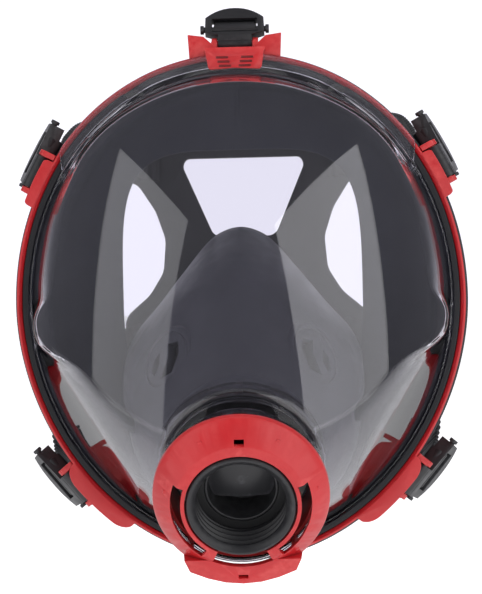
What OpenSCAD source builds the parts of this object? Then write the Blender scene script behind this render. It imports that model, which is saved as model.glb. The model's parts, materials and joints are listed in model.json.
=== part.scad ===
// Full face respirator: panoramic visor in a clamping rim, rubber face seal, inner nose cup,
// one threaded filter connector and a five strap head harness.
// Millimetres. +X is to the right, -Y is the way the wearer looks, +Z is up.
// The origin is the middle of the rim plane, where the rim is widest.

/* [Rim] */
// Half width of the rim at its widest
rim_half_w = 102.7; // [100:0.1:105]
// Height of the rim above its widest level
rim_up = 113; // [111:0.5:115]
// Depth of the rim below its widest level
rim_down = 117.7; // [116:0.1:120]
// Level of the widest place
rim_mid_z = -2; // [-4:0.5:0]
// Width of the coloured band seen from the front
band_w = 2.4; // [2.2:0.1:2.5]
// Front to back depth of the band
band_depth = 13; // [12:0.5:14]

/* [Visor] */
// How far the visor stands forward of the rim plane at most
visor_bulge = 81; // [79:0.5:83]
// Radius of the curved front panel, seen from above
panel_r = 106; // [104:1:112]
// Wall thickness of the visor
visor_t = 2.4; // [2:0.1:2.6]
// Hollow of the two lower cheek facets
cheek_dish = 3; // [0:0.5:4]

/* [Connector] */
// Tilt of the connector axis below straight ahead
hub_tilt = 23; // [22:0.5:24]
// Distance of the connector lip in front of the rim plane
lip_y = 100; // [99:0.5:101]
// Distance of the connector lip below the origin
lip_z = 84.4; // [84:0.1:85]
// Crest radius of the round thread
thread_minor_r = 18.5; // [18.3:0.1:18.7]
// Root radius of the round thread
thread_major_r = 20.25; // [20:0.05:20.4]
// Pitch of the round thread
thread_pitch = 3.63; // [3.6:0.01:3.65]
// Outer radius of the threaded collar
collar_r = 22.3; // [22.2:0.1:22.4]
// Outer radius of the valve cover
cover_r = 36; // [35:0.1:36.5]
// Outer radius of the visor's hub tube
tube_r = 33; // [32.8:0.1:33.2]

/* [Buckles] */
// Width of the top buckle along its hinge
buckle_w = 27; // [26:0.5:28]
// Width of a side buckle along its hinge
side_buckle_w = 30; // [29:0.5:32]
// How far the side buckles reach up past their hinges
side_shift = 8; // [6:0.5:9]
// Height of a buckle above its hinge
buckle_h = 16.3; // [15.9:0.1:17]
// Thickness of a buckle
buckle_t = 7; // [6.5:0.1:7.5]
// Radius of the hinge bars moulded on the rim
hinge_bar_r = 1.75; // [1.6:0.05:1.8]
// Width of the harness straps
strap_w = 19; // [18:0.5:20]
// Thickness of the harness straps
strap_t = 2; // [1.8:0.1:2.2]

/* [Valves] */
// Travel of the inhalation valve disc
inhale_lift = 1; // [0.6:0.1:1.2]
// Radius of the inhalation valve disc
inhale_r = 12.6; // [12:0.1:13]
// Radius of a check valve disc in the nose cup
check_r = 9.6; // [9:0.1:9.8]

/* [Hidden] */
$fn = 64;

// Colours
red = [0.85, 0.14, 0.15];
black = [0.09, 0.09, 0.10];
rubber_grey = [0.24, 0.25, 0.28];
clear = [0.75, 0.78, 0.85, 0.35];
silicone = [0.55, 0.57, 0.60];
steel = [0.7, 0.7, 0.72];

// Rim outline: an oval whose upper half is a little squarer than an ellipse
rim_up_power = 2.05;
rim_down_power = 1.9;
around = 72;

function signed_pow(v, p) = sign(v) * pow(abs(v), p);
function rim_power(s) = s >= 0 ? rim_up_power : rim_down_power;
function rim_height(s) = s >= 0 ? rim_up : rim_down;
// Normal angle of the rim outline at the outline parameter t
function rim_normal(t) =
    let (n = rim_power(sin(t)))
    let (nx = signed_pow(cos(t), 2 * (n - 1) / n) / rim_half_w)
    let (nz = signed_pow(sin(t), 2 * (n - 1) / n) / rim_height(sin(t)))
    atan2(nz, nx);
// Point [x, z] of the outline at parameter t, moved in by d
function rim_at(t, d = 0) =
    let (n = rim_power(sin(t)), a = rim_normal(t))
    [rim_half_w * signed_pow(cos(t), 2 / n) - d * cos(a),
     rim_mid_z + rim_height(sin(t)) * signed_pow(sin(t), 2 / n) - d * sin(a)];
function rim_loop(d) = [for (i = [0:around - 1]) rim_at(i * 360 / around, d)];

// Visor surface. Its depth is the lower of the curved front panel and the wall that rises
// from the rim, blended over a short distance.
lens_inset = 8;
wall_foot = 4;
wall_slope = 2.9;
wall_flatten = 110;
wall_turn = 40;
panel_fall = 0.0024;
panel_top_z = -62;
crease_blend = 3;

function inset_ratio(x, z) =
    let (s = z - rim_mid_z, n = rim_power(s), b = rim_height(s) - lens_inset, a = rim_half_w - lens_inset)
    pow(pow(abs(x) / a, n) + pow(abs(s) / b, n), 1 / n);
function inset_depth(x, z) =
    let (k = inset_ratio(x, z))
    k < 0.02 ? rim_half_w : norm([x, z - rim_mid_z]) * (1 / k - 1);
function wall_curve(q) = wall_slope * q * (1 - q / wall_flatten);
function hump(z, mid, width) = exp(-pow((z - mid) / width, 2));
// The wall is steepest at the panel's side corners and over the brow
function steepness(z) = 1 + 1.6 * hump(z, -12.5, 8) - 0.16 * hump(z, 25, 18) + 0.5 * hump(z, 72, 14);
function wall_depth(q, z) =
    wall_foot + steepness(z) * (
        q < wall_turn ? wall_curve(q)
        : wall_curve(wall_turn) + wall_slope * (1 - 2 * wall_turn / wall_flatten) * (q - wall_turn));
function panel_depth(x, z) =
    visor_bulge - panel_fall * pow(z - panel_top_z, 2)
    - (panel_r - sqrt(panel_r * panel_r - x * x));
function blend_min(a, b, k) = let (h = max(0, k - abs(a - b)) / k) min(a, b) - h * h * k / 4;
// Cheek facet: a lens shaped hollow below each lower crease
cheek_mid = [68.5, -55];
cheek_half_len = 46;
cheek_half_w = 10.6;
cheek_dir = [-0.522, -0.853];
function cheek_hollow(x, z) =
    let (p = [abs(x), z] - cheek_mid, s = p * cheek_dir, c = p * [-cheek_dir[1], cheek_dir[0]])
    let (w = cheek_half_w * (1 - pow(s / cheek_half_len, 2)))
    w <= 0 || abs(c) >= w ? 0 : cheek_dish * pow(1 - pow(c / w, 2), 2) * (w / cheek_half_w);
function lens_depth(x, z) =
    blend_min(panel_depth(x, z), wall_depth(inset_depth(x, z), z), crease_blend) - cheek_hollow(x, z);
function lens_point(x, z) = [x, -lens_depth(x, z), z];
// Unit normal of the lens, pointing into the mask
function lens_inward(x, z) =
    let (e = 0.5)
    let (gx = (lens_depth(x + e, z) - lens_depth(x - e, z)) / (2 * e))
    let (gz = (lens_depth(x, z + e) - lens_depth(x, z - e)) / (2 * e))
    [gx, 1, gz] / norm([gx, 1, gz]);

// Connector axis: local +Z points out of the connector, local +Y up, local origin at the lip
function hub_world(x, y, w) =
    [x, -lip_y - w * cos(hub_tilt) - y * sin(hub_tilt), -lip_z - w * sin(hub_tilt) + y * cos(hub_tilt)];
module on_hub() { translate([0, -lip_y, -lip_z]) rotate([90 + hub_tilt, 0, 0]) children(); }
// Depth behind the lip at which a line along the hub tube meets the lens
function tube_foot(a, r, low = 16, high = 80, steps = 14) =
    let (mid = (low + high) / 2, p = hub_world(r * cos(a), r * sin(a), -mid))
    steps == 0 ? mid
    : p[1] < -lens_depth(p[0], p[2]) ? tube_foot(a, r, mid, high, steps - 1)
    : tube_foot(a, r, low, mid, steps - 1);
tube_front = 13;

// Closed surface through a ring of closed sections
module ring_of_sections(s) {
    n = len(s);
    m = len(s[0]);
    polyhedron(
        points = [for (ring = s) each ring],
        faces = [for (i = [0:n - 1], j = [0:m - 1])
            let (a = i * m + j, b = ((i + 1) % n) * m + j, c = ((i + 1) % n) * m + (j + 1) % m)
            let (d = i * m + (j + 1) % m)
            each [[a, b, c], [a, c, d]]]);
}
// Closed bar through a row of closed sections, with flat ends
module bar_of_sections(s) {
    n = len(s);
    m = len(s[0]);
    polyhedron(
        points = [for (ring = s) each ring],
        faces = [
            [for (j = [0:m - 1]) j],
            [for (j = [m - 1:-1:0]) (n - 1) * m + j],
            for (i = [0:n - 2], j = [0:m - 1])
                let (a = i * m + j, b = (i + 1) * m + j)
                let (c = (i + 1) * m + (j + 1) % m, d = i * m + (j + 1) % m)
                each [[a, b, c], [a, c, d]]]);
}
// Flat plate from y0 back to y1 whose outline is given in x and z
module plate_xz(y0, y1) { translate([0, y1, 0]) rotate([90, 0, 0]) linear_extrude(y1 - y0) children(); }

lens_rows = 9;
// Over the brow the visor has a flange that covers the band
brow_y = -8.2;
brow_t = 1.6;
brow_inset = 1.4;
function brow(a) = min(1, max(0, (sin(a) - 0.5) / 0.12));
function rim_point(a, d, y) = let (p = rim_at(a, d)) [p[0], y, p[1]];
function mix3(a, b, f) = a + (b - a) * f;
function visor_section(a) =
    let (foot = tube_foot(a, tube_r), foot_in = tube_foot(a, tube_r - visor_t))
    let (p0 = hub_world(tube_r * cos(a), tube_r * sin(a), -foot))
    let (rim = rim_at(a, lens_inset))
    let (flats = [for (i = [1:lens_rows])
        [p0[0], p0[2]] + (rim - [p0[0], p0[2]]) * (i / lens_rows)])
    let (lens = [for (p = flats) lens_point(p[0], p[1])], k = min(1, 2 * brow(a)))
    let (out = concat([for (i = [0:lens_rows - 2]) lens[i]], [[rim[0], mix3(-wall_foot, brow_y, k), rim[1]]]))
    let (inn = [for (i = [0:lens_rows - 2]) out[i] + lens_inward(flats[i][0], flats[i][1]) * visor_t])
    let (flange = mix3(lens_inset - 0.4, brow_inset, max(0, 2 * brow(a) - 1)), tube_in = tube_r - visor_t)
    concat(
        [hub_world(tube_r * cos(a), tube_r * sin(a), -tube_front), p0],
        out,
        [rim_point(a, flange, mix3(-3.9, brow_y, k)),
         rim_point(a, flange, mix3(-3.7, brow_y + brow_t, k)),
         rim_point(a, lens_inset - 0.6, mix3(-3.5, brow_y + brow_t, k)),
         rim_point(a, lens_inset - 0.8, -3.2), rim_point(a, lens_inset - 3.2, -3.2),
         rim_point(a, lens_inset - 3.2, -1.2), rim_point(a, lens_inset + 1, -1.2)],
        [for (i = [lens_rows - 2:-1:0]) inn[i]],
        [hub_world(tube_in * cos(a), tube_in * sin(a), -foot_in - visor_t),
         hub_world(tube_in * cos(a), tube_in * sin(a), -tube_front)]);
module visor() { color(clear) ring_of_sections([for (i = [0:around - 1]) visor_section(i * 360 / around)]); }

// Rim band with its hinge lugs
band_in = 1.6;
band_front = -6;
lug_plate_t = 4;
hinge_out = 4;
hinge_y = 4;
cheek_t = 2.6;
bar_half = 8;
top_t = 90;
upper_t = 31;
lower_t = -43.5;
function lug_t(i) = [top_t, upper_t, 180 - upper_t, lower_t, 180 - lower_t][i];
lug_tilt = [15, 74, 74, 64, 64];
function lug_point(i) = let (p = rim_at(lug_t(i), -hinge_out)) [p[0], hinge_y, p[1]];
// Local +X runs along the hinge, local +Z points away from the rim, local -Y to the front
module at_lug(i) { translate(lug_point(i)) rotate([0, 90 - rim_normal(lug_t(i)), 0]) children(); }
module at_buckle(i) { at_lug(i) rotate([-lug_tilt[i], 0, 0]) children(); }

// Piece that stands out from the rim between two places on it, rounded off at both ends
module rim_bump(t0, t1, out, ramp, y0, y1) {
    steps = 24;
    plate_xz(y0, y1) polygon(concat(
        [for (k = [0:steps]) rim_at(t0 + (t1 - t0) * k / steps, band_in + 1)],
        [for (k = [steps:-1:0])
            let (f = k / steps, lift = min(1, ramp * min(f, 1 - f)))
            rim_at(t0 + (t1 - t0) * f, band_in - (out + band_in) * sqrt(1 - pow(1 - lift, 2)))]));
}
module lug_cheeks() {
    for (side = [-1, 1]) translate([side * (bar_half + cheek_t / 2), 0, 0]) {
        rotate([0, 90, 0]) cylinder(r = 2.9, h = cheek_t, center = true);
        translate([-cheek_t / 2, -9, -hinge_out - 1.6]) cube([cheek_t, 11.9, hinge_out + 2]);
    }
    rotate([0, 90, 0]) cylinder(r = hinge_bar_r, h = 2 * bar_half + 1, center = true);
}
saddle_half = 20.5;
saddle_low = 107.2;
saddle_dip = 110.8;
saddle_high = 118.5;
module top_saddle() {
    plate_xz(band_front, band_front + 3) polygon([
        [-saddle_half, saddle_low], [saddle_half, saddle_low], [saddle_half + 0.6, saddle_high],
        [saddle_half - 6.5, saddle_high - 1], [6.5, saddle_dip], [-6.5, saddle_dip],
        [6.5 - saddle_half, saddle_high - 1], [-saddle_half - 0.6, saddle_high]]);
    for (side = [-1, 1]) translate([side * (saddle_half - 2.2) - 2.2, band_front, saddle_low])
        cube([4.4, band_depth - 1, 8.5]);
}
module frame_ring() {
    color(red) {
        difference() {
            plate_xz(band_front, band_front + band_depth) polygon(rim_loop(band_in));
            plate_xz(band_front - 1, band_front + band_depth + 1) polygon(rim_loop(band_in + band_w));
            // Moulded pockets above the upper lugs and below the lower ones
            for (t = [38, 142]) translate([rim_at(t, 0)[0], band_front - 1, rim_at(t, 0)[1]])
                rotate([-90, 0, 0]) cylinder(r = 1.2, h = 5);
        }
        top_saddle();
        for (side = [0, 1]) {
            rim_bump(side ? 180 - 35 : 23, side ? 180 - 23 : 35, 2.4, 12, band_front, band_front + lug_plate_t);
            rim_bump(side ? 180 + 39 : -59, side ? 180 + 59 : -39, 4, 4.5, band_front, band_front + 6);
        }
        for (i = [0:4]) at_lug(i) lug_cheeks();
    }
}

// Clip that hooks over the visor's brow below the top buckle
clip_half = 13.5;
clip_top = 111.6;
module top_clip() {
    color(red) difference() {
        union() {
            plate_xz(-12.4, -9.9) polygon([
                [-clip_half, clip_top], [-clip_half + 1.6, 102.6], [-clip_half + 2.6, 101.8],
                [0, 102.4], [clip_half - 2.6, 101.8], [clip_half - 1.6, 102.6], [clip_half, clip_top]]);
            translate([-clip_half, -12.4, clip_top - 1.5]) cube([2 * clip_half, 6.3, 1.5]);
        }
        for (side = [-1, 1], row = [0:2])
            translate([side * (5.6 - 0.6 * row) - 2.7, -12.6, 106.6 - 1.9 * row]) cube([5.4, 0.8, 1]);
    }
}

// Face seal: a groove round the visor's edge, a wall to the wearer's face, and a lip that
// turns in to the opening
open_half_w = 57;
open_mid_z = -6.5;
open_up = 75.5;
open_down = 78;
function opening_at(t) =
    let (n = sin(t) >= 0 ? 4.4 : 1.9, b = sin(t) >= 0 ? open_up : open_down)
    [open_half_w * signed_pow(cos(t), 2 / n), open_mid_z + b * signed_pow(sin(t), 2 / n)];
seal_back = 34;
temple_back = 9;
function seal_section(t) =
    let (back = seal_back + temple_back * pow(cos(t), 2), o = opening_at(t))
    let (fold = rim_at(t, 14), mid = (fold + o) / 2)
    concat(
        [for (q = [[4.2, -4.9], [6.8, -4.9], [6.8, -4.3], [4.4, -4.3], [4.4, -0.8], [9.2, -0.8], [9.6, 8],
                [11, back - 10], [13.4, back - 3.6]])
            let (p = rim_at(t, q[0])) [p[0], q[1], p[1]]],
        [[mid[0], back - 1.2, mid[1]], [o[0], back + 3.2, o[1]],
         [o[0] * 1.004, back + 4.6, o[1] * 1.004], [mid[0], back + 1.6, mid[1]]],
        [for (q = [[10, back + 0.2], [4.6, back - 7], [1.6, 16], [-0.7, 12], [-0.7, 7.6], [4.2, 7.2]])
            let (p = rim_at(t, q[0])) [p[0], q[1], p[1]]]);
module face_seal() {
    color(rubber_grey) ring_of_sections([for (i = [0:around - 1]) seal_section(-i * 360 / around)]);
}

// Nose cup: a rubber shell from a round sleeve on the housing to its edge on the face.
// Half of the edge outline, from the nose bridge to the chin
cup_half = [[0, 30.5], [8, 28.5], [15, 23.5], [25, 11.5], [38.5, -5], [48, -15.5], [53, -25.5],
    [54.3, -38], [53.3, -56], [46, -73], [28, -84], [0, -87]];
cup_sleeve_r = 30.3;
cup_sleeve_w = -56;
cup_t = 1.7;
cup_sub = 3;
function catmull(a, b, c, d, f) =
    0.5 * (2 * b + (c - a) * f + (2 * a - 5 * b + 4 * c - d) * f * f + (3 * b - a - 3 * c + d) * f * f * f);
cup_ends = concat([[-8, 28.5]], cup_half, [[-28, -84]]);
cup_right = [for (i = [1:len(cup_half) - 1], k = [0:cup_sub - 1])
    catmull(cup_ends[i - 1], cup_ends[i], cup_ends[i + 1], cup_ends[i + 2], k / cup_sub)];
cup_loop = concat(cup_right, [[0, -87]],
    [for (i = [len(cup_right) - 1:-1:1]) [-cup_right[i][0], cup_right[i][1]]]);
cup_n = len(cup_loop);
cup_top_y = 20;
cup_side_y = 31;
function cup_edge_y(z) = cup_top_y + (cup_side_y - cup_top_y) * min(1, max(0, (30 - z) / 45));
// How far along the wall bulges: fraction from the edge, forward and outward shares
cup_rows = [0, 0.2, 0.45, 0.7, 1];
function cup_mid(f) = sin(f * 180);
function cup_point(i, f, t) =
    let (p = cup_loop[i], a = 90 - i * 360 / cup_n, r = cup_sleeve_r + t)
    let (q = hub_world(r * cos(a), r * sin(a), cup_sleeve_w))
    let (edge = [p[0], cup_edge_y(p[1]), p[1]], out = [p[0], 0, p[1] + 30] / norm([p[0], p[1] + 30]))
    mix3(edge, q, f) + cup_mid(f) * 7 * [out[0], -1, out[2]] + (t > 0 && f < 1 ? t : 0) * [out[0], -0.7, out[2]];
function cup_section(i) =
    let (a = 90 - i * 360 / cup_n)
    concat(
        [for (f = cup_rows) cup_point(i, f, cup_t)],
        [for (w = [-50]) hub_world((cup_sleeve_r + cup_t) * cos(a), (cup_sleeve_r + cup_t) * sin(a), w),
         for (w = [-50]) hub_world(cup_sleeve_r * cos(a), cup_sleeve_r * sin(a), w)],
        [for (k = [len(cup_rows) - 1:-1:0]) cup_point(i, cup_rows[k], 0)]);
module nose_cup() {
    color(rubber_grey) difference() {
        ring_of_sections([for (i = [0:cup_n - 1]) cup_section(i)]);
        for (side = [1, -1]) at_check(side) cylinder(r = 11.2, h = 40, center = true);
    }
}

// Check valves in the nose cup: local +Z points out of the cup
check_x = 31;
check_y = -37;
check_z = -27;
check_turn = 50;
check_rise = 20;
module at_check(side) {
    translate([side * check_x, check_y, check_z])
        rotate([0, 0, side * check_turn]) rotate([90 - check_rise, 0, 0]) children();
}
// Bent windows of the right valve, with +X away from the nose; the left valve mirrors them
inner_window = [[1.9, 7.2], [-4.5, 8.5], [-7.4, 3.4], [-6, -5.4], [0.8, -8.6], [-0.6, 1.3]];
outer_window = [[6.5, 3.1], [9, -0.8], [8.2, -6.2], [5.6, -7.4], [4.4, -2.2]];
stud_x = 2.6;
module check_window(points, side) {
    linear_extrude(8, center = true) polygon([for (p = points) [side * p[0], p[1]]]);
}
module check_valve_seat(side) {
    at_check(side) difference() {
        union() {
            translate([0, 0, -1.6]) cylinder(r = 12.8, h = 3);
            translate([0, 0, -3]) cylinder(r = 10.9, h = 3.2);
            translate([side * stud_x, 0, -6.4]) cylinder(r = 1.1, h = 4);
            translate([side * stud_x, 0, -6.6]) cylinder(r = 1.9, h = 0.8);
        }
        check_window(inner_window, side);
        check_window(outer_window, side);
    }
}
module check_valve_disc(side) {
    at_check(side) translate([0, 0, -4.1]) difference() {
        cylinder(r = check_r, h = 0.9);
        translate([side * stud_x, 0, -1]) cylinder(r = 1.35, h = 3);
    }
}

// Connector housing, seen in section as radius and depth behind the lip
housing_r = 30;
socket_r = 20.2;
module ring(r0, r1, w0, w1) {
    translate([0, 0, w1]) difference() {
        cylinder(r = r1, h = w0 - w1, $fn = 96);
        translate([0, 0, -1]) cylinder(r = r0, h = w0 - w1 + 2, $fn = 96);
    }
}
module connector_housing() {
    color(black) on_hub() {
        difference() {
            union() {
                // Outer wall, with a groove for the O-ring
                ring(28.2, housing_r, -33.8, -56);
                // Half flange behind the visor's upper side
                intersection() {
                    ring(28.5, 35, -42, -44.4);
                    translate([-40, 2, -60]) cube([80, 40, 60]);
                }
                // Socket for the threaded collar, and the inlet chamber behind it
                ring(socket_r, 22, -22, -52);
                ring(13.5, 20.6, -37.4, -39);
                // Exhalation valve seat
                ring(21.8, 28.4, -34, -36);
                ring(12.4, 20.6, -50, -52);
                // Duct from the inlet chamber up into the visor
                translate([-13.5, 20, -48.6]) cube([27, 9, 2]);
                translate([-13.5, 20, -40.6]) cube([27, 9, 2]);
                for (x = [-15, 13.5]) translate([x, 20, -48.6]) cube([1.5, 9, 10]);
                // Ribs that carry the socket
                for (a = [0, 180, 235, 305]) rotate([0, 0, a]) translate([21, -1, -52]) cube([8, 2, 16]);
            }
            ring(29.2, 31, -34.4, -36.8);
            // Inlet windows either side of a post
            for (side = [-1, 1]) translate([side * 6.9 - 5.6, 17, -46.6]) cube([11.2, 20, 6]);
            // Exhalation windows in the valve seat
            for (a = [0:30:330]) rotate([0, 0, a + 15]) translate([22.8, -4.6, -40]) cube([4.4, 9.2, 10]);
        }
    }
}
module housing_o_ring() {
    color(black) on_hub() translate([0, 0, -35.6]) rotate_extrude($fn = 96) translate([29.86, 0]) circle(r = 0.62);
}
module thread_collar() {
    thread_top = -2.2;
    turns = 3;
    color(black) on_hub() rotate_extrude($fn = 96) polygon(concat(
        [[14, -36.6], [20, -36.6], [20, -22], [collar_r, -21.6], [collar_r, -1.2], [21.6, 0], [20.8, 0],
         [thread_minor_r, thread_top]],
        [for (k = [0:turns - 1]) each
            [[thread_minor_r, thread_top - 0.7 - k * thread_pitch],
             [thread_major_r, thread_top - 1.6 - k * thread_pitch],
             [thread_major_r, thread_top - 2.4 - k * thread_pitch],
             [thread_minor_r, thread_top - 3.3 - k * thread_pitch]]],
        [[thread_minor_r, -15.4], [19, -15.5], [19, -17.7], [15.2, -17.7], [15.2, -16.4], [14, -16.4]]));
}
module filter_gasket() { color(rubber_grey) on_hub() ring(15.3, 18.8, -16.4, -17.6); }
module inlet_baffle() {
    color(rubber_grey) on_hub() difference() {
        intersection() {
            translate([0, 0, -72.6]) difference() {
                sphere(r = 49, $fn = 96);
                sphere(r = 47.4, $fn = 96);
            }
            translate([0, 0, -31]) cylinder(r = 13.9, h = 9, $fn = 96);
        }
        translate([-20, -28, -40]) cube([40, 20, 20]);
    }
}
module inhalation_valve_seat() {
    color(black) on_hub() difference() {
        union() {
            ring(11, 13.9, -33.5, -36.5);
            translate([0, 0, -36.5]) cylinder(r = 3, h = 3);
            for (a = [30:60:150]) rotate([0, 0, a]) translate([-11.6, -0.8, -36.5]) cube([23.2, 1.6, 3]);
            translate([0, 0, -40.4]) cylinder(r = 1.4, h = 5);
            translate([0, 0, -41]) cylinder(r = 2.4, h = 0.9);
        }
    }
}
module inhalation_valve_disc() {
    color(silicone) on_hub() translate([0, 0, -37.7]) difference() {
        cylinder(r = inhale_r, h = 1.1);
        translate([0, 0, -1]) cylinder(r = 1.55, h = 4);
    }
}
module exhalation_valve_disc() { color(silicone) on_hub() ring(22.3, 27.9, -32.6, -33.9); }
module speech_diaphragm() { color(steel) on_hub() translate([0, 0, -50]) cylinder(r = 14.5, h = 0.5); }
module diaphragm_ring() { color(black) on_hub() ring(12.6, 16, -47.2, -49.4); }

// Valve cover: a conical shell with side slots and a chin lip
cover_front = -0.6;
cover_edge = 26.5;
slot_in_r = 24.4;
slot_out_r = 28.6;
module sector(r, a0, a1) {
    n = 10;
    polygon(concat([[0, 0]], [for (k = [0:n]) r * [cos(a0 + (a1 - a0) * k / n), sin(a0 + (a1 - a0) * k / n)]]));
}
module valve_cover() {
    color(red) on_hub() difference() {
        union() {
            rotate_extrude($fn = 96) polygon([
                [22.8, cover_front], [cover_edge, cover_front], [cover_edge + 0.8, cover_front - 0.5],
                [cover_r - 0.4, -8.8], [cover_r, -9.7], [cover_r, -12.2], [34.6, -12.2], [34.6, -10.2],
                [cover_edge - 0.4, -2.9], [22.8, -2.9]]);
            // Chin lip
            difference() {
                translate([0, 0, -12.2]) linear_extrude(9.2, scale = 0.97) polygon([
                    [-24.6, -26.5], [-22.4, -32], [-15, -35.3], [-7.5, -37.4], [0, -38.1], [7.5, -37.4],
                    [15, -35.3], [22.4, -32], [24.6, -26.5]]);
                translate([0, 0, -12.4]) cylinder(r1 = 35, r2 = 26.2, h = 10.4, $fn = 96);
            }
            // Inner ribs that rest on the lock ring
            for (a = [10, 60, 120, 170, 225, 315]) rotate([0, 0, a])
                translate([28.8, -0.8, -12.8]) cube([3, 1.6, 8.2]);
        }
        // Side slots
        for (a = [[-54, 20], [160, 234]]) translate([0, 0, -6]) linear_extrude(8) difference() {
            intersection() { circle(r = slot_out_r, $fn = 96); sector(40, a[0], a[1]); }
            circle(r = slot_in_r, $fn = 96);
        }
        // Bottom opening between two struts
        translate([0, 0, -6]) linear_extrude(8) intersection() {
            circle(r = slot_out_r, $fn = 96);
            sector(40, 244, 296);
        }
        // Latch holes
        translate([-2, 26.9, -9]) cube([4, 2.3, 12]);
        translate([-2, -34.6, -13]) cube([4, 1.8, 14]);
    }
}
module cover_lock_ring() { color(red) on_hub() ring(29, 30.3, -12.8, -33.3); }

// Buckle: hinge eye, frame with a window for the strap, thumb dome
eye_r = 3.4;
eye_gap = 0.08;
window_half = 10.4;
window_low = 4.9;
window_high = 11.3;
roller_r = 1.3;
roller_v = 6.5;
roller_travel = 1.2;
roller_front = -1.7;
slot_gap = 0.08;
function body_shift(i) = [0, -side_shift, side_shift, -side_shift, side_shift][i];
function body_w(i) = i == 0 ? buckle_w : side_buckle_w;
module buckle(i) {
    shift = body_shift(i);
    half = body_w(i) / 2;
    dome_half = half - 0.3;
    dome = [for (k = [0:12]) let (u = dome_half * (1 - k / 6))
        [u + shift, buckle_h - 4.6 * pow(abs(u) / dome_half, 2.2)]];
    difference() {
        union() {
            rotate([0, 90, 0]) cylinder(r = eye_r, h = 2 * bar_half - 0.8, center = true);
            plate_xz(-buckle_t / 2, buckle_t / 2) polygon(concat(
                [[-7.6, 0.5], [7.6, 0.5], [7.6, 3.3], [shift + half, 5.2]], dome,
                [[shift - half, 5.2], [-7.6, 3.3]]));
        }
        rotate([0, 90, 0]) cylinder(r = hinge_bar_r + eye_gap, h = 60, center = true);
        translate([shift - window_half, -10, window_low])
            cube([2 * window_half, 20, window_high - window_low]);
        for (side = [-1, 1]) roller_slot(shift + side * (half - 1), roller_r + slot_gap);
    }
}
// Slot with round ends through one side wall, for the roller to slide in
module roller_slot(x, r) {
    for (v = [roller_v, roller_v + roller_travel])
        translate([x, roller_front, v]) rotate([0, 90, 0]) cylinder(r = r, h = 8, center = true);
    translate([x - 4, roller_front - r, roller_v]) cube([8, 2 * r, roller_travel]);
}
module roller(i) {
    translate([body_shift(i), roller_front, roller_v]) rotate([0, 90, 0]) {
        cylinder(r = roller_r, h = body_w(i) + 1.6, center = true);
        for (side = [-1, 1]) translate([0, 0, side * (body_w(i) / 2 + 1.3)])
            cylinder(r = 2, h = 1.6, center = true);
    }
}

// Straps: rectangular rubber bands swept along hand placed points.
// Each row is [x, y, z] of the middle line; sideways directions are blended from the
// buckle's hinge line to the pad's edge.
function smooth_path(p, sub) = [for (i = [0:len(p) - 2], k = [0:sub - 1])
    catmull(p[max(0, i - 1)], p[i], p[i + 1], p[min(len(p) - 1, i + 2)], k / sub), p[len(p) - 1]];
module strap(path, side0, side1) {
    pts = smooth_path(path, 4);
    n = len(pts);
    bar_of_sections([for (i = [0:n - 1])
        let (d = pts[min(n - 1, i + 1)] - pts[max(0, i - 1)])
        let (s0 = side0 + (side1 - side0) * i / (n - 1), s1 = s0 - d * (s0 * d) / (d * d), s = s1 / norm(s1))
        let (u = cross(s, d / norm(d)))
        [pts[i] - s * strap_w / 2 - u * strap_t / 2, pts[i] + s * strap_w / 2 - u * strap_t / 2,
         pts[i] + s * strap_w / 2 + u * strap_t / 2, pts[i] - s * strap_w / 2 + u * strap_t / 2]]);
}
// Place of a point in the middle of a buckle's body, given in the buckle's own frame
function buckle_world(i, v, f) =
    let (a = rim_normal(lug_t(i)), s = lug_tilt[i], h = lug_point(i))
    h + v * [cos(a) * cos(s), sin(s), sin(a) * cos(s)] + f * [cos(a) * sin(s), -cos(s), sin(a) * sin(s)]
    + body_shift(i) * hinge_dir(i);
function hinge_dir(i) = let (a = rim_normal(lug_t(i))) [sin(a), 0, -cos(a)];
strap_v = 10.1;
function strap_start(i) = [buckle_world(i, strap_v, 1.2), buckle_world(i, strap_v, -3.4),
    buckle_world(i, strap_v + 0.6, -5.7), buckle_world(i, strap_v + 4.2, -7)];
top_route = [[0, 36, 129], [0, 70, 131], [0, 104, 119], [0, 128, 99], [0, 134.5, 91], [0, 136.6, 82]];
upper_route = [[85, 34, 69.5], [80, 62, 77.5], [71, 96, 81], [61, 124, 77], [54, 134, 72], [45, 136.6, 71]];
lower_route = [[83.5, 32, -74], [85.5, 50, -63], [80, 90, -42], [68, 122, -28], [61, 133.5, -24],
    [50, 136.6, -20]];
pad_y = 138;
pad_t = 3;
module strap_upper() { strap(concat(strap_start(1), upper_route), hinge_dir(1), [0, 0, -1]); }
module strap_lower() { strap(concat(strap_start(3), lower_route), hinge_dir(3), [-0.32, 0, -0.95]); }
module harness_pad() {
    half = [[0, 90], [11, 89], [15, 84], [30, 79], [44, 81], [58, 84], [62, 80], [62, 62], [56, 60],
        [47, 46], [42, 31], [43.5, 14], [51, 2], [63, -8], [65, -14], [60, -29], [54, -32], [40, -22],
        [18, -16], [0, -15]];
    color(black) plate_xz(pad_y, pad_y + pad_t) difference() {
        polygon(concat(half, [for (i = [len(half) - 2:-1:1]) [-half[i][0], half[i][1]]]));
        polygon([[-30, 73], [30, 73], [32, 69], [17, 34], [14, 32], [-14, 32], [-17, 34], [-32, 69]]);
    }
}

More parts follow.
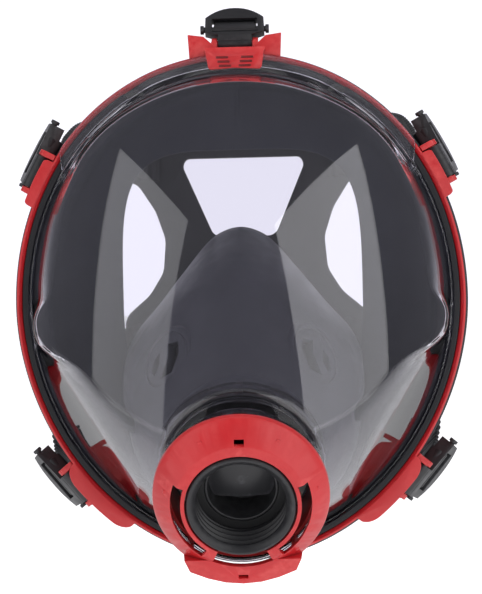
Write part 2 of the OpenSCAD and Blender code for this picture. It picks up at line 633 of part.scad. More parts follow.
visor();
frame_ring();
top_clip();
face_seal();
nose_cup();
color(black) check_valve_seat(1);  // check_valve_seat_right
color(black) check_valve_seat(-1);  // check_valve_seat_left
color(silicone) check_valve_disc(1);  // check_valve_disc_right
color(silicone) check_valve_disc(-1);  // check_valve_disc_left
connector_housing();
thread_collar();
filter_gasket();
inlet_baffle();
housing_o_ring();
inhalation_valve_seat();
inhalation_valve_disc();
exhalation_valve_disc();
speech_diaphragm();
diaphragm_ring();
valve_cover();
cover_lock_ring();
harness_pad();
color(black) at_buckle(0) buckle(0);  // buckle_top
color(black) at_buckle(1) buckle(1);  // buckle_upper_right
color(black) at_buckle(2) buckle(2);  // buckle_upper_left
color(black) at_buckle(3) buckle(3);  // buckle_lower_right
color(black) at_buckle(4) buckle(4);  // buckle_lower_left
color(black) at_buckle(0) roller(0);  // roller_top
color(black) at_buckle(1) roller(1);  // roller_upper_right
color(black) at_buckle(2) roller(2);  // roller_upper_left
color(black) at_buckle(3) roller(3);  // roller_lower_right
color(black) at_buckle(4) roller(4);  // roller_lower_left
color(black) strap(concat(strap_start(0), top_route), [1, 0, 0], [1, 0, 0]);  // strap_top
color(black) strap_upper();  // strap_upper_right
color(black) mirror([1, 0, 0]) strap_upper();  // strap_upper_left
color(black) strap_lower();  // strap_lower_right
color(black) mirror([1, 0, 0]) strap_lower();  // strap_lower_left
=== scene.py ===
"""Looks of the full face respirator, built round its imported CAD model.

Shapes are worked out in millimetres in the CAD's frame and scaled once, when a mesh is made.
+X is to the right, -Y is the way the wearer looks, +Z is up.
"""

import json
import math

import bmesh
import bpy
import numpy as np
from mathutils import Matrix, Quaternion, Vector

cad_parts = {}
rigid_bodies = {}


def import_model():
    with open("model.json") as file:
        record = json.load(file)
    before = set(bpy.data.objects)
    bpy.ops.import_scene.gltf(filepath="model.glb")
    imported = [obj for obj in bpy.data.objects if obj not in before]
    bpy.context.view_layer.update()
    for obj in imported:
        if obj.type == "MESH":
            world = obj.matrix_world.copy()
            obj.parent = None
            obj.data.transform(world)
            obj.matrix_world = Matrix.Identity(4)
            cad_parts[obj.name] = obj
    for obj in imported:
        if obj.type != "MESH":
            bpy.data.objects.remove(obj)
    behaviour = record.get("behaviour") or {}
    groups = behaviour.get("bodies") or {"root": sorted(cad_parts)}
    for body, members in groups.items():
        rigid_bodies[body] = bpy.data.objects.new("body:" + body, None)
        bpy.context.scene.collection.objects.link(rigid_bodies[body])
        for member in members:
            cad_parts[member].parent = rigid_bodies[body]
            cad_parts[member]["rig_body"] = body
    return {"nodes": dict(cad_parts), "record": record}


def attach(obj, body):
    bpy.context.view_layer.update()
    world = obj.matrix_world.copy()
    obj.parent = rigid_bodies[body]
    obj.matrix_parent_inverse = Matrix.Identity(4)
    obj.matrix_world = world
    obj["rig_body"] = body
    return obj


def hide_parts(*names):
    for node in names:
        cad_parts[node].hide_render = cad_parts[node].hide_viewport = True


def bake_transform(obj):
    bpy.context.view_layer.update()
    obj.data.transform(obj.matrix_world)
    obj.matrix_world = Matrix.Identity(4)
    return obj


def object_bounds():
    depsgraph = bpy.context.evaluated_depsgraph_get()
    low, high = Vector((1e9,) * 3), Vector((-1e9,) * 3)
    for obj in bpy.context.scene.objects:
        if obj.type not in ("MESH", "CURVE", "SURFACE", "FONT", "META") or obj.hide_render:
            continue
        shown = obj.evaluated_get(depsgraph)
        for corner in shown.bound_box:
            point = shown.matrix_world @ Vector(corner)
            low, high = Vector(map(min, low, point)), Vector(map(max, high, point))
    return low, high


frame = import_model()
cad_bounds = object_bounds()

MM = 0.001
ROOT = "mask"
STRAPS = ("top", "upper_right", "upper_left", "lower_right", "lower_left")
TURN = 2 * math.pi


# ---------------------------------------------------------------- camera
def make_camera():
    """Level view from the front, a little to the right, through a long lens."""
    distance, azimuth, roll = 0.859, math.radians(1.2), math.radians(-1.4)
    data = bpy.data.cameras.new("camera")
    data.lens = 115
    data.sensor_width = 36
    camera = bpy.data.objects.new("camera", data)
    bpy.context.scene.collection.objects.link(camera)
    back = Vector((math.sin(azimuth), -math.cos(azimuth), 0))
    camera.location = back * distance
    camera.rotation_mode = "QUATERNION"
    camera.rotation_quaternion = (-back).to_track_quat("-Z", "Y") @ Quaternion((0, 0, 1), roll)
    bpy.context.scene.camera = camera


make_camera()


# ---------------------------------------------------------------- materials
class Nodes:
    """Short ways to build one material's node tree."""

    def __init__(self, name):
        self.material = bpy.data.materials.new(name)
        self.material.use_nodes = True
        self.tree = self.material.node_tree
        self.shader = self.tree.nodes["Principled BSDF"]
        self.output = self.tree.nodes["Material Output"]
        self.place = self.add("ShaderNodeTexCoord").outputs["Object"]

    def add(self, kind, **values):
        node = self.tree.nodes.new(kind)
        for key, value in values.items():
            setattr(node, key, value)
        return node

    def link(self, source, target):
        self.tree.links.new(source, target)

    def noise(self, scale, detail=3, stretch=None):
        node = self.add("ShaderNodeTexNoise")
        node.inputs["Scale"].default_value = scale
        node.inputs["Detail"].default_value = detail
        if stretch:
            mapping = self.add("ShaderNodeMapping")
            mapping.inputs["Scale"].default_value = stretch
            self.link(self.place, mapping.inputs["Vector"])
            self.link(mapping.outputs["Vector"], node.inputs["Vector"])
        else:
            self.link(self.place, node.inputs["Vector"])
        return node.outputs["Fac"]

    def spread(self, source, low, high, from_low=0.3, from_high=0.7):
        node = self.add("ShaderNodeMapRange")
        node.inputs["From Min"].default_value = from_low
        node.inputs["From Max"].default_value = from_high
        node.inputs["To Min"].default_value = low
        node.inputs["To Max"].default_value = high
        self.link(source, node.inputs["Value"])
        return node.outputs["Result"]

    def mix(self, factor, a, b):
        node = self.add("ShaderNodeMix", data_type="RGBA")
        self.link(factor, node.inputs["Factor"])
        for value, socket in ((a, node.inputs["A"]), (b, node.inputs["B"])):
            if isinstance(value, tuple):
                socket.default_value = (*value, 1)
            else:
                self.link(value, socket)
        return node.outputs["Result"]

    def bump(self, height, depth, strength=1.0, under=None):
        node = self.add("ShaderNodeBump")
        node.inputs["Strength"].default_value = strength
        node.inputs["Distance"].default_value = depth
        self.link(height, node.inputs["Height"])
        if under is not None:
            self.link(under, node.inputs["Normal"])
        return node.outputs["Normal"]

    def edges(self, low=0.515, high=0.56):
        """How much a place lies on an outer edge, or in a hollow, from the mesh's own curvature."""
        geometry = self.add("ShaderNodeNewGeometry")
        return self.spread(geometry.outputs["Pointiness"], 0, 1, low, high)

    def set(self, **values):
        for key, value in values.items():
            self.shader.inputs[key.replace("_", " ")].default_value = value


def moulded(name, colour, edge_colour, rough, grain_depth=0.00003, coat=0.0):
    """Injection moulded plastic: fine spark grain, faint handling marks, edges rubbed lighter, and
    painted shade that darkens its hollows.
    """
    n = Nodes(name)
    tone = n.spread(n.noise(28, 4), 0, 1, 0.35, 0.65)
    darker = tuple(c * 0.86 for c in colour)
    body = n.mix(tone, darker, colour)
    wear_break = n.noise(420, 3)
    wear = n.add("ShaderNodeMath", operation="MULTIPLY")
    n.link(n.edges(), wear.inputs[0])
    n.link(n.spread(wear_break, 0, 0.6), wear.inputs[1])
    # Limits the other way round find hollows, where the plastic is painted darker: painted shade,
    # with some dirt
    hollow = n.edges(0.49, 0.43)
    body = n.mix(hollow, body, tuple(c * 0.3 for c in colour))
    n.link(n.mix(wear.outputs[0], body, edge_colour), n.shader.inputs["Base Color"])
    n.link(n.spread(n.noise(90, 4), rough - 0.06, rough + 0.08), n.shader.inputs["Roughness"])
    broad = n.bump(n.noise(160, 2), 0.00008, 0.25)
    n.link(n.bump(n.noise(3200, 2), grain_depth, 0.6, broad), n.shader.inputs["Normal"])
    n.set(Coat_Weight=coat, Coat_Roughness=0.2, IOR=1.5)
    return n.material


def rubber(name, colour, bloom, rough, sheen=0.04, front=None):
    """Moulded rubber: matt, a little powdery in patches, with a fine skin. Towards the front,
    where it sits in the visor's groove, it may be painted darker as painted shade."""
    n = Nodes(name)
    patch = n.spread(n.noise(35, 5), 0, 0.75, 0.4, 0.72)
    tone = n.mix(patch, colour, bloom)
    if front:
        # Painted shade: the colour turns darker towards the front, where the seal lies in the shade
        # of the visor's groove
        split = n.add("ShaderNodeSeparateXYZ")
        n.link(n.place, split.inputs[0])
        tone = n.mix(n.spread(split.outputs["Y"], 0, 1, 0.006, 0.012), front, tone)
    n.link(tone, n.shader.inputs["Base Color"])
    n.link(n.spread(n.noise(120, 4), rough - 0.07, rough + 0.1), n.shader.inputs["Roughness"])
    soft = n.bump(n.noise(220, 3), 0.00012, 0.3)
    n.link(n.bump(n.noise(2600, 2), 0.00003, 0.6, soft), n.shader.inputs["Normal"])
    n.set(Sheen_Weight=sheen, Sheen_Roughness=0.5, IOR=1.45)
    return n.material


def clear_shell(name, tint, ior=1.58):
    """Polished clear plastic. Lamps shine through it, so that what is behind it is lit."""
    n = Nodes(name)
    n.set(Base_Color=(*tint, 1), Transmission_Weight=1.0, IOR=ior)
    n.link(n.spread(n.noise(60, 3), 0.0, 0.03), n.shader.inputs["Roughness"])
    n.link(n.bump(n.noise(26, 2), 0.00006, 0.35), n.shader.inputs["Normal"])
    see = n.add("ShaderNodeBsdfTransparent")
    see.inputs["Color"].default_value = (*[c * 0.95 for c in tint], 1)
    path = n.add("ShaderNodeLightPath")
    mix = n.add("ShaderNodeMixShader")
    n.link(path.outputs["Is Shadow Ray"], mix.inputs["Fac"])
    n.link(n.shader.outputs["BSDF"], mix.inputs[1])
    n.link(see.outputs["BSDF"], mix.inputs[2])
    n.link(mix.outputs["Shader"], n.output.inputs["Surface"])
    return n.material


def silicone(name):
    n = Nodes(name)
    tone = n.mix(n.noise(90, 3), (0.5, 0.5, 0.48), (0.62, 0.62, 0.6))
    n.link(tone, n.shader.inputs["Base Color"])
    n.link(n.spread(n.noise(200, 3), 0.38, 0.5), n.shader.inputs["Roughness"])
    n.link(n.bump(n.noise(1500, 2), 0.00002, 0.5), n.shader.inputs["Normal"])
    n.set(Subsurface_Weight=0.2, IOR=1.42)
    return n.material


def rolled_steel(name):
    n = Nodes(name)
    streak = n.noise(60, 5, (1, 30, 30))
    n.link(n.mix(streak, (0.5, 0.5, 0.52), (0.66, 0.66, 0.68)), n.shader.inputs["Base Color"])
    n.link(n.spread(streak, 0.2, 0.34), n.shader.inputs["Roughness"])
    n.link(n.bump(streak, 0.00002, 0.4), n.shader.inputs["Normal"])
    n.set(Metallic=1.0)
    return n.material


MATERIALS = {
    "visor_clear": clear_shell("visor_clear", (0.87, 0.86, 0.935)),
    "red_plastic": moulded("red_plastic", (0.5, 0.010, 0.014), (0.62, 0.07, 0.065), 0.36,
                           coat=0.1),
    "black_plastic": moulded("black_plastic", (0.012, 0.012, 0.014), (0.06, 0.06, 0.065), 0.42),
    "grey_plastic": moulded("grey_plastic", (0.03, 0.03, 0.034), (0.1, 0.1, 0.11), 0.36),
    # The near-black front colour is painted shade in the visor's groove
    "seal_rubber": rubber("seal_rubber", (0.03, 0.033, 0.042), (0.041, 0.045, 0.055), 0.52,
                          front=(0.006, 0.006, 0.008)),
    "cup_rubber": rubber("cup_rubber", (0.045, 0.046, 0.052), (0.062, 0.063, 0.07), 0.5),
    "black_rubber": rubber("black_rubber", (0.008, 0.008, 0.009), (0.014, 0.014, 0.015), 0.55),
    "harness_rubber": rubber("harness_rubber", (0.012, 0.012, 0.014), (0.022, 0.022, 0.025), 0.5),
    "valve_silicone": silicone("valve_silicone"),
    "diaphragm_steel": rolled_steel("diaphragm_steel"),
}
SLOT_OF = {s["node"]: s["material_slot"] for s in frame["record"]["subparts"]}


# ---------------------------------------------------------------- mesh helpers
def new_piece(name, bm, slot, body=ROOT, nodes=(), smooth_angle=40):
    """Makes one shown piece of a bmesh in millimetres and puts it on its body."""
    bmesh.ops.recalc_face_normals(bm, faces=bm.faces)
    mesh = bpy.data.meshes.new(name)
    bm.to_mesh(mesh)
    bm.free()
    mesh.transform(Matrix.Scale(MM, 4))
    return show(name, mesh, slot, body, nodes, smooth_angle)


def show(name, mesh, slot, body, nodes, smooth_angle):
    mesh.materials.clear()
    mesh.materials.append(MATERIALS[slot])
    piece = bpy.data.objects.new(name, mesh)
    bpy.context.scene.collection.objects.link(piece)
    smooth(piece, smooth_angle)
    if body:
        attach(piece, body)
    if nodes:
        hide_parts(*nodes)
    return piece


def smooth(piece, angle):
    """Smooth shading except across edges sharper than the angle in degrees."""
    mesh = piece.data
    mesh.polygons.foreach_set("use_smooth", [True] * len(mesh.polygons))
    if hasattr(mesh, "set_sharp_from_angle"):
        mesh.set_sharp_from_angle(angle=math.radians(angle))


def add_grid(bm, rows, close_u=True, close_v=True):
    """Adds a surface through rows[u][v] of points. u and v may each close on themselves."""
    rows = np.asarray(rows, float)
    count_u, count_v = rows.shape[:2]
    verts = [[bm.verts.new(p) for p in row] for row in rows]
    for u in range(count_u if close_u else count_u - 1):
        nxt = (u + 1) % count_u
        for v in range(count_v if close_v else count_v - 1):
            up = (v + 1) % count_v
            bm.faces.new((verts[u][v], verts[nxt][v], verts[nxt][up], verts[u][up]))
    return verts


def add_plate(bm, outline, y0, y1):
    """Adds a flat plate from y0 back to y1 with its outline in x and z."""
    front = [bm.verts.new((x, y0, z)) for x, z in outline]
    back = [bm.verts.new((x, y1, z)) for x, z in outline]
    count = len(outline)
    for i in range(count):
        j = (i + 1) % count
        bm.faces.new((front[i], front[j], back[j], back[i]))
    bm.faces.new(front)
    bm.faces.new(back)


def bevelled(piece, width, segments=3, angle=35):
    """Rounds the piece's edges and keeps the result in its mesh."""
    modifier = piece.modifiers.new("round", "BEVEL")
    modifier.width = width * MM
    modifier.segments = segments
    modifier.limit_method = "ANGLE"
    modifier.angle_limit = math.radians(angle)
    modifier.miter_outer = "MITER_ARC"
    modifier.use_clamp_overlap = True
    bake_modifiers(piece)
    return piece


def bake_modifiers(piece):
    depsgraph = bpy.context.evaluated_depsgraph_get()
    mesh = bpy.data.meshes.new_from_object(piece.evaluated_get(depsgraph))
    piece.modifiers.clear()
    old, piece.data = piece.data, mesh
    mesh.name = piece.name
    bpy.data.meshes.remove(old)


def catmull(points, steps, closed=False):
    """Smooth line through points, with that many steps between each two."""
    p = np.asarray(points, float)
    count = len(p)
    out = []
    for i in range(count if closed else count - 1):
        index = [i - 1, i, i + 1, i + 2]
        a, b, c, d = (p[k % count] if closed else p[min(max(k, 0), count - 1)] for k in index)
        for k in range(steps):
            f = k / steps
            out.append(0.5 * (2 * b + (c - a) * f + (2 * a - 5 * b + 4 * c - d) * f * f
                              + (3 * b - a - 3 * c + d) * f ** 3))
    if not closed:
        out.append(p[-1])
    return np.array(out)


def round_corners(points, radii, steps=4, closed=False):
    """Line through points whose corners are replaced by short curves of about those radii."""
    p = np.asarray(points, float)
    count = len(p)
    out = []
    for i in range(count):
        if not closed and i in (0, count - 1):
            out.append(p[i])
            continue
        before, here, after = p[i - 1], p[i], p[(i + 1) % count]
        back, ahead = np.linalg.norm(before - here), np.linalg.norm(after - here)
        reach = min(radii[i], back * 0.48, ahead * 0.48)
        a = here + (before - here) / max(back, 1e-9) * reach
        b = here + (after - here) / max(ahead, 1e-9) * reach
        for k in range(steps + 1):
            f = k / steps
            out.append((1 - f) ** 2 * a + 2 * f * (1 - f) * here + f * f * b)
    return np.array(out)


def softened(node, width, segments=2):
    """Stands for a hard CAD node with the same shape and rounded edges."""
    source = frame["nodes"][node].data
    bm = bmesh.new()
    bm.from_mesh(source)
    bmesh.ops.remove_doubles(bm, verts=bm.verts, dist=0.002 * MM)
    bmesh.ops.dissolve_limit(bm, angle_limit=math.radians(0.6), verts=bm.verts, edges=bm.edges)
    mesh = bpy.data.meshes.new(node + "_body")
    bm.to_mesh(mesh)
    bm.free()
    body = frame["nodes"][node]["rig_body"]
    piece = show(node + "_body", mesh, SLOT_OF[node], None, (node,), 30)
    bevelled(piece, width, segments)
    smooth(piece, 40)
    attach(piece, body)
    return piece


# ---------------------------------------------------------------- rim outline
RIM_HALF_W, RIM_UP, RIM_DOWN, RIM_MID_Z = 102.7, 113.0, 117.7, -2.0
RIM_UP_POWER, RIM_DOWN_POWER = 2.05, 1.9


def signed_pow(v, p):
    return np.sign(v) * np.abs(v) ** p


def rim_power(s):
    return np.where(s >= 0, RIM_UP_POWER, RIM_DOWN_POWER)


def rim_height(s):
    return np.where(s >= 0, RIM_UP, RIM_DOWN)


def rim_normal(t):
    c, s = np.cos(t), np.sin(t)
    n = rim_power(s)
    return np.arctan2(signed_pow(s, 2 * (n - 1) / n) / rim_height(s),
                      signed_pow(c, 2 * (n - 1) / n) / RIM_HALF_W)


def rim_at(t, inset=0.0):
    """x and z of the rim outline at parameter t in radians, moved in by the inset."""
    c, s = np.cos(t), np.sin(t)
    n, a = rim_power(s), rim_normal(t)
    return np.stack([RIM_HALF_W * signed_pow(c, 2 / n) - inset * np.cos(a),
                     RIM_MID_Z + rim_height(s) * signed_pow(s, 2 / n) - inset * np.sin(a)], -1)


def even_angles(count, curve):
    """Parameters at which a closed curve is cut into equal lengths, starting at 0."""
    t = np.linspace(0, TURN, 7201)
    points = curve(t)
    run = np.concatenate([[0], np.cumsum(np.linalg.norm(np.diff(points, axis=0), axis=1))])
    return np.interp(np.arange(count) / count * run[-1], run, t)


# ---------------------------------------------------------------- visor surface
LENS_INSET, WALL_FOOT, WALL_SLOPE, WALL_FLATTEN, WALL_TURN = 8.0, 4.0, 2.9, 110.0, 40.0
VISOR_BULGE, PANEL_R, PANEL_FALL, PANEL_TOP_Z, CREASE_BLEND = 81.0, 106.0, 0.0024, -62.0, 3.0
VISOR_T = 2.4
# Heights where the wall is steeper or flatter, as how much more, middle and reach: the
# panel's side corners, the temples and the brow
STEEPER = ((1.6, -12.5, 8), (-0.16, 25, 18), (0.5, 72, 14))
CHEEK_MID, CHEEK_DIR = np.array([68.5, -55.0]), np.array([-0.522, -0.853])
CHEEK_HALF_LEN, CHEEK_HALF_W, CHEEK_DISH = 46.0, 10.6, 3.0


def inset_depth(x, z):
    """How far a point lies inside the lens edge, along the line from the middle."""
    s = z - RIM_MID_Z
    n, b, a = rim_power(s), rim_height(s) - LENS_INSET, RIM_HALF_W - LENS_INSET
    k = (np.abs(x / a) ** n + np.abs(s / b) ** n) ** (1 / n)
    return np.where(k < 0.02, RIM_HALF_W, np.hypot(x, s) * (1 / np.maximum(k, 0.02) - 1))


def steepness(z):
    """The wall is steepest at the panel's side corners and over the brow."""
    return sum((more * np.exp(-((z - mid) / reach) ** 2) for more, mid, reach in STEEPER), 1)


def wall_depth(q, z):
    curve = WALL_SLOPE * q * (1 - q / WALL_FLATTEN)
    turn = WALL_SLOPE * WALL_TURN * (1 - WALL_TURN / WALL_FLATTEN)
    line = turn + WALL_SLOPE * (1 - 2 * WALL_TURN / WALL_FLATTEN) * (q - WALL_TURN)
    return WALL_FOOT + steepness(z) * np.where(q < WALL_TURN, curve, line)


def panel_depth(x, z):
    sag = PANEL_R - np.sqrt(PANEL_R ** 2 - x * x)
    return VISOR_BULGE - PANEL_FALL * (z - PANEL_TOP_Z) ** 2 - sag


def blend_min(a, b, k):
    h = np.maximum(0, k - np.abs(a - b)) / k
    return np.minimum(a, b) - h * h * k / 4


def cheek_hollow(x, z):
    px, pz = np.abs(x) - CHEEK_MID[0], z - CHEEK_MID[1]
    s = px * CHEEK_DIR[0] + pz * CHEEK_DIR[1]
    c = -px * CHEEK_DIR[1] + pz * CHEEK_DIR[0]
    w = np.maximum(CHEEK_HALF_W * (1 - (s / CHEEK_HALF_LEN) ** 2), 1e-3)
    inside = np.clip(1 - (c / w) ** 2, 0, 1)
    return CHEEK_DISH * inside ** 2 * np.clip(w / CHEEK_HALF_W, 0, 1)


def lens_depth(x, z, wall=0.0):
    """Depth of the lens in front of the rim plane, or of its inner face for a wall thickness."""
    x, z = np.broadcast_arrays(np.asarray(x, float), np.asarray(z, float))
    x = np.clip(x, -PANEL_R + 1, PANEL_R - 1)
    panel, side = panel_depth(x, z), wall_depth(inset_depth(x, z), z)
    if wall:
        slope_x = x / np.sqrt(PANEL_R ** 2 - x * x)
        slope_z = 2 * PANEL_FALL * (z - PANEL_TOP_Z)
        panel = panel - wall * np.sqrt(1 + slope_x ** 2 + slope_z ** 2)
        q = np.clip(inset_depth(x, z), 0, WALL_TURN)
        slope = steepness(z) * WALL_SLOPE * (1 - 2 * q / WALL_FLATTEN)
        side = side - wall * np.sqrt(1 + slope ** 2)
    return blend_min(panel, side, CREASE_BLEND) - cheek_hollow(x, z)


# ---------------------------------------------------------------- connector axis
CONNECTOR = next(m for m in frame["record"]["mounts"] if m["name"] == "filter_connector")
HUB_Z = np.array(CONNECTOR["axis"])
HUB_Z = HUB_Z / np.linalg.norm(HUB_Z)
HUB_X = np.array([1.0, 0.0, 0.0])
HUB_Y = np.cross(HUB_Z, HUB_X)
# The lip of the collar stands this far in front of the connector's seat
LIP_AHEAD = 8.8
LIP = np.array(CONNECTOR["pos_m"]) / MM + LIP_AHEAD * HUB_Z
TUBE_R, TUBE_FRONT = 33.0, 13.0


def on_hub(x, y, w):
    """Point at x across, y up and w out along the connector's axis, from the middle of its lip."""
    x, y, w = np.broadcast_arrays(np.asarray(x, float), np.asarray(y, float), np.asarray(w, float))
    return LIP + x[..., None] * HUB_X + y[..., None] * HUB_Y + w[..., None] * HUB_Z


def tube_foot(a, r, wall=0.0):
    """Depth behind the lip at which lines along the hub tube meet the lens."""
    low, high = np.full_like(a, 16.0), np.full_like(a, 84.0)
    for _ in range(24):
        mid = (low + high) / 2
        p = on_hub(r * np.cos(a), r * np.sin(a), -mid)
        outside = p[:, 1] < -lens_depth(p[:, 0], p[:, 2], wall)
        low, high = np.where(outside, mid, low), np.where(outside, high, mid)
    return low


# ---------------------------------------------------------------- visor
LENS_ROWS = 84
BROW_Y, BROW_T, BROW_INSET = -8.2, 1.6, 1.4
# The brow flange grows where the sine of the rim's parameter passes BROW_FROM
BROW_FROM, BROW_RAMP = 0.5, 0.12
# Tongue round the visor that sits in the seal's groove
TONGUE_FRONT, TONGUE_BACK, TONGUE_REACH = -3.2, -1.2, 3.2
# Reach of the fillet where the hub tube meets the lens
FILLET = 2.6


def crowded(start, end, wall, rows):
    """Places from start to end, in x and z, that lie closer together where the lens bends."""
    u = np.linspace(0, 1, 400)
    flat = start + (end - start) * u[:, None]
    depth = lens_depth(flat[:, 0], flat[:, 1], wall)
    step = np.linalg.norm(end - start) / (len(u) - 1)
    bend = np.abs(np.gradient(np.gradient(depth, step), step))
    weight = 1 + 26 * np.minimum(bend, 0.35)
    weight = np.convolve(np.pad(weight, 6, mode="edge"), np.ones(13) / 13, mode="valid")
    run = np.concatenate([[0], np.cumsum((weight[1:] + weight[:-1]) / 2)])
    chosen = np.interp(np.linspace(0, run[-1], rows), run, u)
    flat = start + (end - start) * chosen[:, None]
    return np.stack([flat[:, 0], -lens_depth(flat[:, 0], flat[:, 1], wall), flat[:, 1]], -1)


def visor_section(t, foot, foot_in):
    """Closed section of the visor through the hub tube and the rim at parameter t."""
    c, s = math.cos(t), math.sin(t)
    tube_in = TUBE_R - VISOR_T
    brow = min(1, max(0, (s - BROW_FROM) / BROW_RAMP))
    rise, reach = min(1, 2 * brow), max(0, 2 * brow - 1)

    def edge(inset, plain_y, brow_y):
        x, z = rim_at(np.array(t), inset)
        return np.array([x, plain_y + (brow_y - plain_y) * rise, z])

    corner = on_hub(TUBE_R * c, TUBE_R * s, -foot)
    outer = crowded(corner[[0, 2]], rim_at(np.array(t), LENS_INSET), 0.0, LENS_ROWS)
    outer[-1] = edge(LENS_INSET, -WALL_FOOT, BROW_Y)
    inner_corner = on_hub(tube_in * c, tube_in * s, -foot_in)
    inner = crowded(inner_corner[[0, 2]], rim_at(np.array(t), LENS_INSET + 1.7), VISOR_T, LENS_ROWS)
    up = on_hub(TUBE_R * c, TUBE_R * s, -foot + FILLET)
    away = np.linalg.norm(outer - corner, axis=1)
    along = outer[np.searchsorted(away, FILLET)]
    fillet = [(1 - f) ** 2 * up + 2 * f * (1 - f) * corner + f * f * along
              for f in np.linspace(0, 1, 6)]
    slide = np.clip((FILLET - away) / FILLET, 0, 1)[:, None]
    outer = outer + slide * (along - outer)
    flange = LENS_INSET - 0.4 + (BROW_INSET - LENS_INSET + 0.4) * reach
    rim_edge = round_corners([
        outer[-1], edge(flange, -3.9, BROW_Y), edge(flange, -3.7, BROW_Y + BROW_T),
        edge(LENS_INSET - 0.6, -3.5, BROW_Y + BROW_T),
        edge(LENS_INSET - 0.8, TONGUE_FRONT, TONGUE_FRONT),
        edge(LENS_INSET - TONGUE_REACH, TONGUE_FRONT, TONGUE_FRONT),
        edge(LENS_INSET - TONGUE_REACH, TONGUE_BACK, TONGUE_BACK),
        edge(LENS_INSET + 1, TONGUE_BACK, TONGUE_BACK)],
        [0, 0.7, 0.7, 0.4, 0.3, 0.4, 0.4, 0], 3)[1:]
    lip = round_corners([
        on_hub(tube_in * c, tube_in * s, -foot_in), on_hub(tube_in * c, tube_in * s, -TUBE_FRONT),
        on_hub(TUBE_R * c, TUBE_R * s, -TUBE_FRONT), up], [0, 0.6, 0.6, 0], 3)[1:-1]
    return np.concatenate([fillet, outer[1:], rim_edge, inner[::-1], lip])


def make_visor():
    angles = even_angles(480, lambda t: rim_at(t, LENS_INSET))
    feet = tube_foot(angles, TUBE_R)
    feet_in = tube_foot(angles, TUBE_R - VISOR_T, VISOR_T)
    bm = bmesh.new()
    add_grid(bm, [visor_section(t, f, g) for t, f, g in zip(angles, feet, feet_in)])
    new_piece("visor_shell", bm, "visor_clear", nodes=("visor",), smooth_angle=50)


make_visor()


# ---------------------------------------------------------------- rim band
BAND_IN, BAND_W, BAND_FRONT, BAND_DEPTH = 1.6, 2.4, -6.0, 13.0
HINGE_OUT, HINGE_Y, BAR_R, BAR_HALF, CHEEK_T = 4.0, 4.0, 1.75, 8.0, 2.6
LUG_T = {"top": 90, "upper_right": 31, "upper_left": 149, "lower_right": -43.5, "lower_left": 223.5}
# Fairings under the side lugs, as first and last place in degrees round the rim
UPPER_FAIRINGS, LOWER_FAIRINGS = ((23, 35), (145, 157)), ((-59, -39), (219, 239))
SADDLE_HALF, SADDLE_LOW, SADDLE_DIP, SADDLE_HIGH = 20.5, 107.2, 110.8, 118.5
SADDLE_DIP_HALF, POST_HALF, POST_H = 6.5, 2.2, 8.5


def rim_bump(first, last, out, ramp):
    """Outline of a piece that stands out from the rim between two places in degrees."""
    f = np.linspace(0, 1, 65)
    t = np.radians(first + (last - first) * f)
    lift = np.sqrt(1 - (1 - np.minimum(1, ramp * np.minimum(f, 1 - f))) ** 2)
    inner = rim_at(t, BAND_IN + 1)
    outer = np.array([rim_at(a, BAND_IN - (out + BAND_IN) * k) for a, k in zip(t, lift)])
    return np.concatenate([inner, outer[::-1]])


def lug_frame(name):
    """Matrix of a lug: x along the hinge, z away from the rim, origin on the hinge line."""
    t = math.radians(LUG_T[name])
    x, z = rim_at(np.array(t), -HINGE_OUT)
    turn = Matrix.Rotation(math.pi / 2 - float(rim_normal(np.array(t))), 4, "Y")
    return Matrix.Translation((x, HINGE_Y, z)) @ turn


def add_box(bm, low, high, place=Matrix()):
    v = [bm.verts.new(place @ Vector((x, y, z)))
         for x in (low[0], high[0]) for y in (low[1], high[1]) for z in (low[2], high[2])]
    for f in ((0, 1, 3, 2), (4, 6, 7, 5), (0, 4, 5, 1), (2, 3, 7, 6), (0, 2, 6, 4), (1, 5, 7, 3)):
        bm.faces.new([v[i] for i in f])


def add_bar(bm, outline, x0, x1, place=Matrix()):
    """Adds a bar along x from x0 to x1 with its outline in y and z."""
    a = [bm.verts.new(place @ Vector((x0, y, z))) for y, z in outline]
    b = [bm.verts.new(place @ Vector((x1, y, z))) for y, z in outline]
    for i in range(len(outline)):
        j = (i + 1) % len(outline)
        bm.faces.new((a[i], a[j], b[j], b[i]))
    bm.faces.new(a)
    bm.faces.new(b)


def circle(r, count=32):
    turns = [TURN * k / count for k in range(count)]
    return [(r * math.cos(a), r * math.sin(a)) for a in turns]


def cheek_outline():
    """Side view of a lug's cheek: a round end on the hinge and a foot on the band."""
    end_r, back, foot = 2.9, -9.0, -HINGE_OUT - 1.6
    arc = [(end_r * math.cos(a), end_r * math.sin(a)) for a in np.linspace(0, math.pi, 13)]
    return arc + [(back, 0.4), (back, foot), (end_r, foot)]


